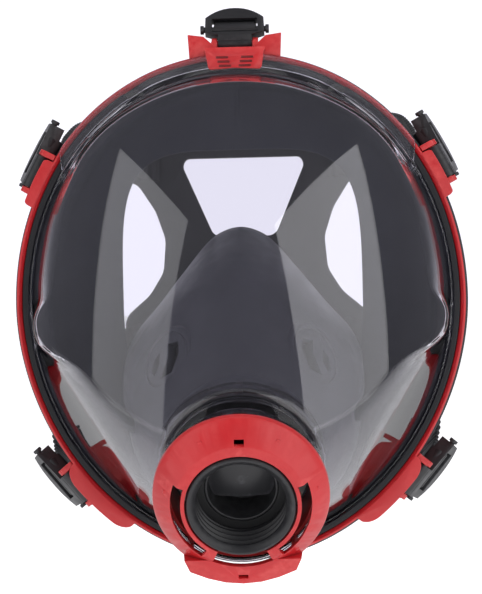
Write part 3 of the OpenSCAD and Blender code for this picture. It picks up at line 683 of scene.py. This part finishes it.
def make_band():
    angles = even_angles(360, lambda t: rim_at(t))
    bm = bmesh.new()
    rows = []
    front, back = BAND_FRONT, BAND_FRONT + BAND_DEPTH
    for t in angles:
        ends = [(BAND_IN, front + 0.5), (BAND_IN + 0.9, front), (BAND_IN + BAND_W, front + 1.7),
                (BAND_IN + BAND_W, back), (BAND_IN, back)]
        ring = [np.array([*rim_at(np.array(t), d), y])[[0, 2, 1]] for d, y in ends]
        rows.append(round_corners(ring, [0.5, 0.7, 0.5, 0.4, 0.4], 4, closed=True))
    add_grid(bm, rows)
    new_piece("rim_band", bm, "red_plastic", nodes=("frame_ring",), smooth_angle=60)

    bm = bmesh.new()
    for first, last in UPPER_FAIRINGS:
        add_plate(bm, rim_bump(first, last, 2.4, 12), front, front + 4)
    for first, last in LOWER_FAIRINGS:
        add_plate(bm, rim_bump(first, last, 4.0, 4.5), front, front + 6)
    for name in STRAPS:
        place = lug_frame(name)
        for side in (-1, 1):
            x = side * (BAR_HALF + CHEEK_T / 2)
            add_bar(bm, cheek_outline(), x - CHEEK_T / 2, x + CHEEK_T / 2, place)
        add_bar(bm, circle(BAR_R), -BAR_HALF - 0.5, BAR_HALF + 0.5, place)
    wing = SADDLE_HALF - SADDLE_DIP_HALF
    saddle = [(SADDLE_HALF, SADDLE_LOW), (SADDLE_HALF + 0.6, SADDLE_HIGH), (wing, SADDLE_HIGH - 1),
              (SADDLE_DIP_HALF, SADDLE_DIP)]
    left_half = [(-x, z) for x, z in saddle[::-1]]
    add_plate(bm, left_half[-1:] + saddle + left_half[:-1], front, front + 3)
    for side in (-1, 1):
        x = side * (SADDLE_HALF - POST_HALF)
        add_box(bm, (x - POST_HALF, front + 1, SADDLE_LOW),
                (x + POST_HALF, front + BAND_DEPTH - 1, SADDLE_LOW + POST_H))
    lugs = new_piece("rim_lugs", bm, "red_plastic")
    smooth(bevelled(lugs, 0.5), 50)


make_band()


# ---------------------------------------------------------------- face seal
OPEN_HALF_W, OPEN_MID_Z, OPEN_UP, OPEN_DOWN = 57.0, -6.5, 75.5, 78.0
OPEN_UP_POWER, OPEN_DOWN_POWER = 4.4, 1.9
SEAL_BACK, TEMPLE_BACK = 34.0, 9.0


def opening_at(t):
    c, s = np.cos(t), np.sin(t)
    n = np.where(s >= 0, OPEN_UP_POWER, OPEN_DOWN_POWER)
    b = np.where(s >= 0, OPEN_UP, OPEN_DOWN)
    return np.stack([OPEN_HALF_W * signed_pow(c, 2 / n), OPEN_MID_Z + b * signed_pow(s, 2 / n)], -1)


def seal_section(t):
    t = np.array(t)
    back = SEAL_BACK + TEMPLE_BACK * math.cos(t) ** 2
    o, fold = opening_at(t), rim_at(t, 14)
    mid = (fold + o) / 2

    def rim_point(inset, y):
        x, z = rim_at(t, inset)
        return [x, y, z]

    front = [(4.2, -4.9), (6.8, -4.9), (6.8, -4.3), (4.4, -4.3), (4.4, -0.8), (9.2, -0.8), (9.6, 8),
             (11, back - 10), (13.4, back - 3.6)]
    rear = [(10, back + 0.2), (4.6, back - 7), (1.6, 16), (-0.7, 12), (-0.7, 7.6), (4.2, 7.2)]
    lip = [[mid[0], back - 1.2, mid[1]], [o[0], back + 3.2, o[1]],
           [o[0] * 1.004, back + 4.6, o[1] * 1.004], [mid[0], back + 1.6, mid[1]]]
    line = [rim_point(*q) for q in front] + lip + [rim_point(*q) for q in rear]
    radii = [0.4, 0.4, 0.2, 0.2, 0.3, 2.5, 5, 6, 6, 9, 0.7, 0.7, 9, 5, 8, 3, 1.2, 1.2, 0.5]
    section = round_corners(line, radii, 5, closed=True)
    # Mould seam that runs up the middle of the forehead
    if math.sin(t) > 0:
        ridge = 0.9 * np.exp(-(section[:, 0] / 0.8) ** 2)
        inside = (section[:, 1] > 6) & (section[:, 2] < rim_at(t, 8)[1])
        section[:, 1] -= ridge * inside
    return section


def make_seal():
    def both(t):
        return np.concatenate([opening_at(t), rim_at(t)], -1)

    bm = bmesh.new()
    add_grid(bm, [seal_section(t) for t in even_angles(540, both)])
    new_piece("seal_skin", bm, "seal_rubber", nodes=("face_seal",), smooth_angle=70)


make_seal()


# ---------------------------------------------------------------- nose cup
CUP_HALF = [(0, 30.5), (8, 28.5), (15, 23.5), (25, 11.5), (38.5, -5), (48, -15.5), (53, -25.5),
            (54.3, -38), (53.3, -56), (46, -73), (28, -84), (0, -87)]
CUP_SLEEVE_R, CUP_SLEEVE_W, CUP_SLEEVE_END, CUP_T = 30.3, -56.0, -50.0, 1.7
# Middle of the cup, how far its skin swells between edge and sleeve, where its edge lies
# at the nose, and how much further back it lies below
CUP_MID_Z, CUP_SWELL, CUP_EDGE_Y, CUP_EDGE_BACK = -30, 7, 20, 11
CHECK_MID, CHECK_TURN, CHECK_RISE, CHECK_HOLE_R = (31.0, -37.0, -27.0), 50.0, 20.0, 12.9


def check_frame(side):
    """Matrix of a check valve, with z pointing out of the cup."""
    x, y, z = CHECK_MID
    turn = Matrix.Rotation(math.radians(side * CHECK_TURN), 4, "Z")
    rise = Matrix.Rotation(math.radians(90 - CHECK_RISE), 4, "X")
    return Matrix.Translation((side * x, y, z)) @ turn @ rise


def cup_shell(out, rows):
    """Rows of points from the cup's edge on the face forward to its sleeve."""
    half = np.array(CUP_HALF, float)
    mirror = half[1:-1][::-1] * [-1, 1]
    loop = catmull(np.concatenate([half, mirror]), 12, closed=True)
    count = len(loop)
    a = math.pi / 2 - np.arange(count) / count * TURN
    radius = CUP_SLEEVE_R + out
    sleeve = on_hub(radius * np.cos(a), radius * np.sin(a), CUP_SLEEVE_W)
    edge_y = CUP_EDGE_Y + CUP_EDGE_BACK * np.clip((30 - loop[:, 1]) / 45, 0, 1)
    edge = np.stack([loop[:, 0], edge_y, loop[:, 1]], -1)
    away = np.stack([loop[:, 0], np.zeros(count), loop[:, 1] - CUP_MID_Z], -1)
    away = away / np.linalg.norm(away, axis=1)[:, None]
    grid = []
    for f in np.linspace(0, 1, rows):
        swell = math.sin(f * math.pi) * CUP_SWELL
        skin = out if f < 1 else 0
        grid.append(edge + (sleeve - edge) * f + swell * (away + [0, -1, 0])
                    + skin * (away + [0, -0.7, 0]))
    return grid, a


def make_cup():
    outer, a = cup_shell(CUP_T, 26)
    inner, _ = cup_shell(0.0, 26)
    sleeve = [on_hub(r * np.cos(a), r * np.sin(a), CUP_SLEEVE_END)
              for r in (CUP_SLEEVE_R + CUP_T, CUP_SLEEVE_R)]
    curl = [outer[0] + (inner[0] - outer[0]) * f + [0, 0.7 * math.sin(f * math.pi), 0]
            for f in (0.25, 0.5, 0.75)]
    bm = bmesh.new()
    add_grid(bm, outer + sleeve + inner[::-1] + curl[::-1])
    cup = new_piece("cup_skin", bm, "cup_rubber", nodes=("nose_cup",), smooth_angle=50)
    for side in (-1, 1):
        cutter = bmesh.new()
        bmesh.ops.create_cone(cutter, cap_ends=True, segments=64, radius1=CHECK_HOLE_R,
                              radius2=CHECK_HOLE_R, depth=30)
        cutter.transform(check_frame(side))
        mesh = bpy.data.meshes.new("cut")
        cutter.to_mesh(mesh)
        cutter.free()
        mesh.transform(Matrix.Scale(MM, 4))
        tool = bpy.data.objects.new("cut", mesh)
        bpy.context.scene.collection.objects.link(tool)
        hole = cup.modifiers.new("hole", "BOOLEAN")
        hole.operation = "DIFFERENCE"
        hole.object = tool
        hole.solver = "EXACT"
        bake_modifiers(cup)
        bpy.data.objects.remove(tool)
    smooth(cup, 50)
    # Round bosses that hold the check valves
    profile = [(12.7, -2.4), (12.7, 1.2), (13.6, 2.0), (15.0, 1.6), (16.0, 0.2), (16.8, -3.0),
               (15.2, -3.4)]
    line = round_corners([(r, 0, h) for r, h in profile], [0.5, 0.6, 0.8, 0.8, 1, 1, 0.6], 4,
                         closed=True)
    bm = bmesh.new()
    for side in (-1, 1):
        place = check_frame(side)
        rows = []
        for k in range(96):
            t = TURN * k / 96
            rows.append([place @ Vector((r * math.cos(t), r * math.sin(t), h)) for r, _, h in line])
        add_grid(bm, rows)
    new_piece("cup_bosses", bm, "cup_rubber", smooth_angle=60)


make_cup()


# ---------------------------------------------------------------- hub pieces
def make_collar():
    """Threaded collar. The round thread is a true helix that fades out at both ends."""
    minor, major, pitch, start, end = 18.5, 20.25, 3.63, -2.4, -15.2
    columns = 180
    ahead = round_corners([(20, -36.6), (20, -22), (22.3, -21.6), (22.3, -1.2), (21.6, 0),
                           (20.8, 0), (minor, -2.2)], [0, 0.5, 0.6, 0.8, 0.5, 0.5, 0], 3)
    behind = round_corners([(minor, -15.4), (19, -15.5), (19, -17.7), (15.2, -17.7), (15.2, -16.4),
                            (14, -16.4), (14, -36.6)], [0, 0.2, 0.4, 0.4, 0.4, 0.4, 0], 3)
    rows = []
    w_thread = np.linspace(start, end, 76)
    fade = np.clip(np.minimum(start - w_thread, w_thread - end) / 1.4, 0, 1)
    for k in range(columns):
        a = TURN * k / columns
        wave = 0.5 - 0.5 * np.cos(TURN * (w_thread / pitch + k / columns))
        r_thread = minor + (major - minor) * wave * fade
        line = np.concatenate([ahead, np.stack([r_thread, w_thread], -1), behind])
        rows.append(on_hub(line[:, 0] * math.cos(a), line[:, 0] * math.sin(a), line[:, 1]))
    bm = bmesh.new()
    add_grid(bm, rows)
    new_piece("collar_thread", bm, "black_plastic", nodes=("thread_collar",), smooth_angle=55)


make_collar()

# Hard parts that keep their CAD shape, with the radius of their edges
for cad_node, radius in (("valve_cover", 0.45), ("cover_lock_ring", 0.3),
                         ("connector_housing", 0.3), ("inhalation_valve_seat", 0.2),
                         ("top_clip", 0.3), ("check_valve_seat_right", 0.25),
                         ("check_valve_seat_left", 0.25), ("diaphragm_ring", 0.2)):
    softened(cad_node, radius)

# ---------------------------------------------------------------- buckles
TILT = {"top": 15, "upper_right": 74, "upper_left": 74, "lower_right": 64, "lower_left": 64}
# How far the side buckles' bodies sit along their hinges, towards the top of the mask
SHIFT = {"top": 0, "upper_right": -8, "upper_left": 8, "lower_right": -8, "lower_left": 8}


def buckle_frame(name):
    return lug_frame(name) @ Matrix.Rotation(math.radians(-TILT[name]), 4, "X")


for strap_name in STRAPS:
    softened("buckle_" + strap_name, 0.7, 3)
    softened("roller_" + strap_name, 0.25)

# ---------------------------------------------------------------- harness
STRAP_W, STRAP_T, RIB_PITCH, RIB_H, RIB_NOTCH = 19.0, 1.7, 4.0, 0.45, 0.6
STRAP_STEP = 0.8
# Length of strap that keeps square to its buckle before it starts to twist towards the pad
THREADED = 26.0
# Strap in its buckle, as up and forward in the buckle's frame: back from under the roller,
# over its front and out through the window
THREADING = [(5.6, -4.0), (5.0, -1.2), (5.2, 1.0), (7.0, 2.2), (9.2, 1.3), (10.1, -1.2),
             (10.2, -3.6), (10.7, -5.7), (14.3, -7.0)]
# Where each strap runs on the mask's right side, and its sideways direction on the pad
ROUTES = {
    "top": ([(0, 36, 129), (0, 70, 131), (0, 104, 119), (0, 128, 99), (0, 136.2, 91),
             (0, 137.9, 82)], (1, 0, 0)),
    "upper": ([(85, 34, 69.5), (80, 62, 77.5), (71, 96, 81), (61, 124, 77), (53, 136, 72),
               (44, 137.9, 71)], (0, 0, -1)),
    "lower": ([(83.5, 32, -74), (85.5, 50, -63), (80, 90, -42), (68, 122, -28), (60, 136, -23.5),
               (49, 137.9, -20)], (-0.32, 0, -0.95)),
}


def strap_line(name):
    """Middle line of a strap and its sideways directions at both ends."""
    route, side_end = ROUTES[name.split("_")[0]]
    mirror = -1 if name.endswith("left") else 1
    place = buckle_frame(name)
    start = [place @ Vector((SHIFT[name], -f, v)) for v, f in THREADING]
    points = [tuple(p) for p in start] + [(mirror * x, y, z) for x, y, z in route]
    hinge = np.array(place.to_3x3() @ Vector((1, 0, 0)))
    return points, hinge, np.array(side_end, float) * (mirror, 1, 1), start


def make_strap(name):
    points, side_a, side_b, start = strap_line(name)
    rough = catmull(points, 24)
    run = np.concatenate([[0], np.cumsum(np.linalg.norm(np.diff(rough, axis=0), axis=1))])
    count = int(run[-1] / STRAP_STEP)
    at = np.linspace(0, run[-1], count)
    line = np.stack([np.interp(at, run, rough[:, k]) for k in range(3)], -1)
    tangent = np.gradient(line, axis=0)
    tangent /= np.linalg.norm(tangent, axis=1)[:, None]
    if side_a @ side_b < 0:
        side_b = -side_b
    rows = []
    for k in range(count):
        f = min(1, max(0, (at[k] - THREADED) / (run[-1] - THREADED)))
        side = side_a + (side_b - side_a) * f
        side = side - tangent[k] * (side @ tangent[k])
        side /= np.linalg.norm(side)
        up = np.cross(side, tangent[k])
        wave = (0.5 + 0.5 * math.cos(TURN * at[k] / RIB_PITCH)) ** 0.6
        half_w = STRAP_W / 2 - RIB_NOTCH + RIB_NOTCH * wave
        half_t = STRAP_T / 2 - RIB_H / 2 + RIB_H * wave
        corners = [(-half_w, -half_t), (half_w, -half_t), (half_w, half_t), (-half_w, half_t)]
        ring = round_corners([(a, 0, b) for a, b in corners], [0.6] * 4, 3, closed=True)
        rows.append([line[k] + side * a + up * b for a, _, b in ring])
    bm = bmesh.new()
    verts = add_grid(bm, rows, close_u=False)
    bm.faces.new(verts[0])
    bm.faces.new(verts[-1][::-1])
    piece = new_piece("strap_band_" + name, bm, "harness_rubber", body=None,
                      nodes=("strap_" + name,), smooth_angle=50)
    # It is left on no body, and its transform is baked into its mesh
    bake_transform(piece)


for strap_name in STRAPS:
    make_strap(strap_name)

PAD_Y, PAD_T = 138.0, 3.0
PAD_HALF = [(0, 90), (11, 89), (15, 84), (30, 79), (44, 81), (58, 84), (62, 80), (62, 62),
            (56, 60), (47, 46), (42, 31), (43.5, 14), (51, 2), (63, -8), (65, -14), (60, -29),
            (54, -32), (40, -22), (18, -16), (0, -15)]
PAD_HOLE = [(-30, 73), (30, 73), (32, 69), (17, 34), (14, 32), (-14, 32), (-17, 34), (-32, 69)]


def make_pad():
    outline = PAD_HALF + [(-x, z) for x, z in PAD_HALF[-2:0:-1]]
    outer = round_corners(outline, [3] * len(outline), 5, closed=True)
    inner = round_corners(PAD_HOLE, [2.5] * len(PAD_HOLE), 5, closed=True)
    bm = bmesh.new()
    loops = []
    for line in (outer, inner):
        verts = [bm.verts.new((x, PAD_Y, z)) for x, z in line]
        loops += [bm.edges.new((verts[i], verts[(i + 1) % len(verts)])) for i in range(len(verts))]
    bmesh.ops.triangle_fill(bm, use_beauty=True, edges=loops, normal=(0, -1, 0))
    bmesh.ops.dissolve_limit(bm, angle_limit=0.01, verts=bm.verts, edges=bm.edges)
    faces = list(bm.faces)
    made = bmesh.ops.extrude_face_region(bm, geom=faces)
    top = [v for v in made["geom"] if isinstance(v, bmesh.types.BMVert)]
    bmesh.ops.translate(bm, verts=top, vec=(0, PAD_T, 0))
    pad = new_piece("pad_plate", bm, "harness_rubber", nodes=("harness_pad",))
    smooth(bevelled(pad, 0.8), 45)


make_pad()

# ---------------------------------------------------------------- CAD nodes that stay
for cad_node, cad_object in frame["nodes"].items():
    if not cad_object.hide_render:
        cad_object.data.materials.clear()
        cad_object.data.materials.append(MATERIALS[SLOT_OF[cad_node]])
        smooth(cad_object, 35)


# ---------------------------------------------------------------- studio
def camera_or(tree, seen, other):
    """Value that is one number for what the camera sees directly and another for all else."""
    path = tree.nodes.new("ShaderNodeLightPath")
    pick = tree.nodes.new("ShaderNodeMapRange")
    pick.inputs["To Min"].default_value = other
    pick.inputs["To Max"].default_value = seen
    tree.links.new(path.outputs["Is Camera Ray"], pick.inputs["Value"])
    return pick.outputs["Result"]


FLOOR_GAP = 0.12


def make_floor():
    """White paper some way below the mask, lit to a clean white in the picture."""
    low, _ = cad_bounds
    bm = bmesh.new()
    bmesh.ops.create_grid(bm, x_segments=1, y_segments=1, size=30)
    mesh = bpy.data.meshes.new("floor")
    bm.to_mesh(mesh)
    bm.free()
    n = Nodes("floor_paper")
    n.link(n.mix(n.noise(3, 2), (0.9, 0.9, 0.9), (0.93, 0.93, 0.93)), n.shader.inputs["Base Color"])
    n.link(n.spread(n.noise(40, 3), 0.8, 0.9), n.shader.inputs["Roughness"])
    n.link(n.bump(n.noise(900, 2), 0.0001, 0.2), n.shader.inputs["Normal"])
    n.set(Emission_Color=(1, 1, 1, 1))
    n.link(camera_or(n.tree, 0.8, 0.4), n.shader.inputs["Emission Strength"])
    mesh.materials.append(n.material)
    floor = bpy.data.objects.new("floor", mesh)
    floor.location = (0, 0, low.z - FLOOR_GAP)
    bpy.context.scene.collection.objects.link(floor)


def make_world():
    """White backdrop behind the object and a darker room in front of it."""
    world = bpy.data.worlds.new("studio")
    bpy.context.scene.world = world
    world.use_nodes = True
    tree = world.node_tree
    background = tree.nodes["Background"]
    coord = tree.nodes.new("ShaderNodeTexCoord")
    split = tree.nodes.new("ShaderNodeSeparateXYZ")
    tree.links.new(coord.outputs["Generated"], split.inputs[0])
    fall = tree.nodes.new("ShaderNodeMapRange")
    fall.interpolation_type = "SMOOTHSTEP"
    fall.inputs["From Min"].default_value = 0.5
    fall.inputs["From Max"].default_value = 0.9
    fall.inputs["To Min"].default_value = 0.24
    fall.inputs["To Max"].default_value = 1.05
    tree.links.new(split.outputs["Y"], fall.inputs["Value"])
    most = tree.nodes.new("ShaderNodeMath")
    most.operation = "MAXIMUM"
    tree.links.new(fall.outputs["Result"], most.inputs[0])
    tree.links.new(camera_or(tree, 1.2, 0.0), most.inputs[1])
    tree.links.new(most.outputs[0], background.inputs["Strength"])
    background.inputs["Color"].default_value = (0.93, 0.92, 1, 1)


def softbox(name, place, size, power, glossy=True):
    data = bpy.data.lights.new(name, "AREA")
    data.shape = "RECTANGLE"
    data.size, data.size_y = size
    data.energy = power
    lamp = bpy.data.objects.new(name, data)
    lamp.location = place
    lamp.rotation_mode = "QUATERNION"
    lamp.rotation_quaternion = (-Vector(place)).to_track_quat("-Z", "Y")
    lamp.visible_glossy = glossy
    lamp.visible_transmission = glossy
    bpy.context.scene.collection.objects.link(lamp)


make_floor()
make_world()
softbox("left_box", (-1.0, -0.65, 0.35), (0.9, 1.7), 5)
softbox("right_box", (0.95, -0.75, 0.4), (1.1, 1.7), 9)
softbox("top_box", (0.0, -0.2, 1.3), (1.2, 0.8), 7, glossy=False)
softbox("front_fill", (0.1, -1.5, 0.4), (1.6, 1.2), 6, glossy=False)
bpy.context.scene.view_settings.view_transform = "Standard"
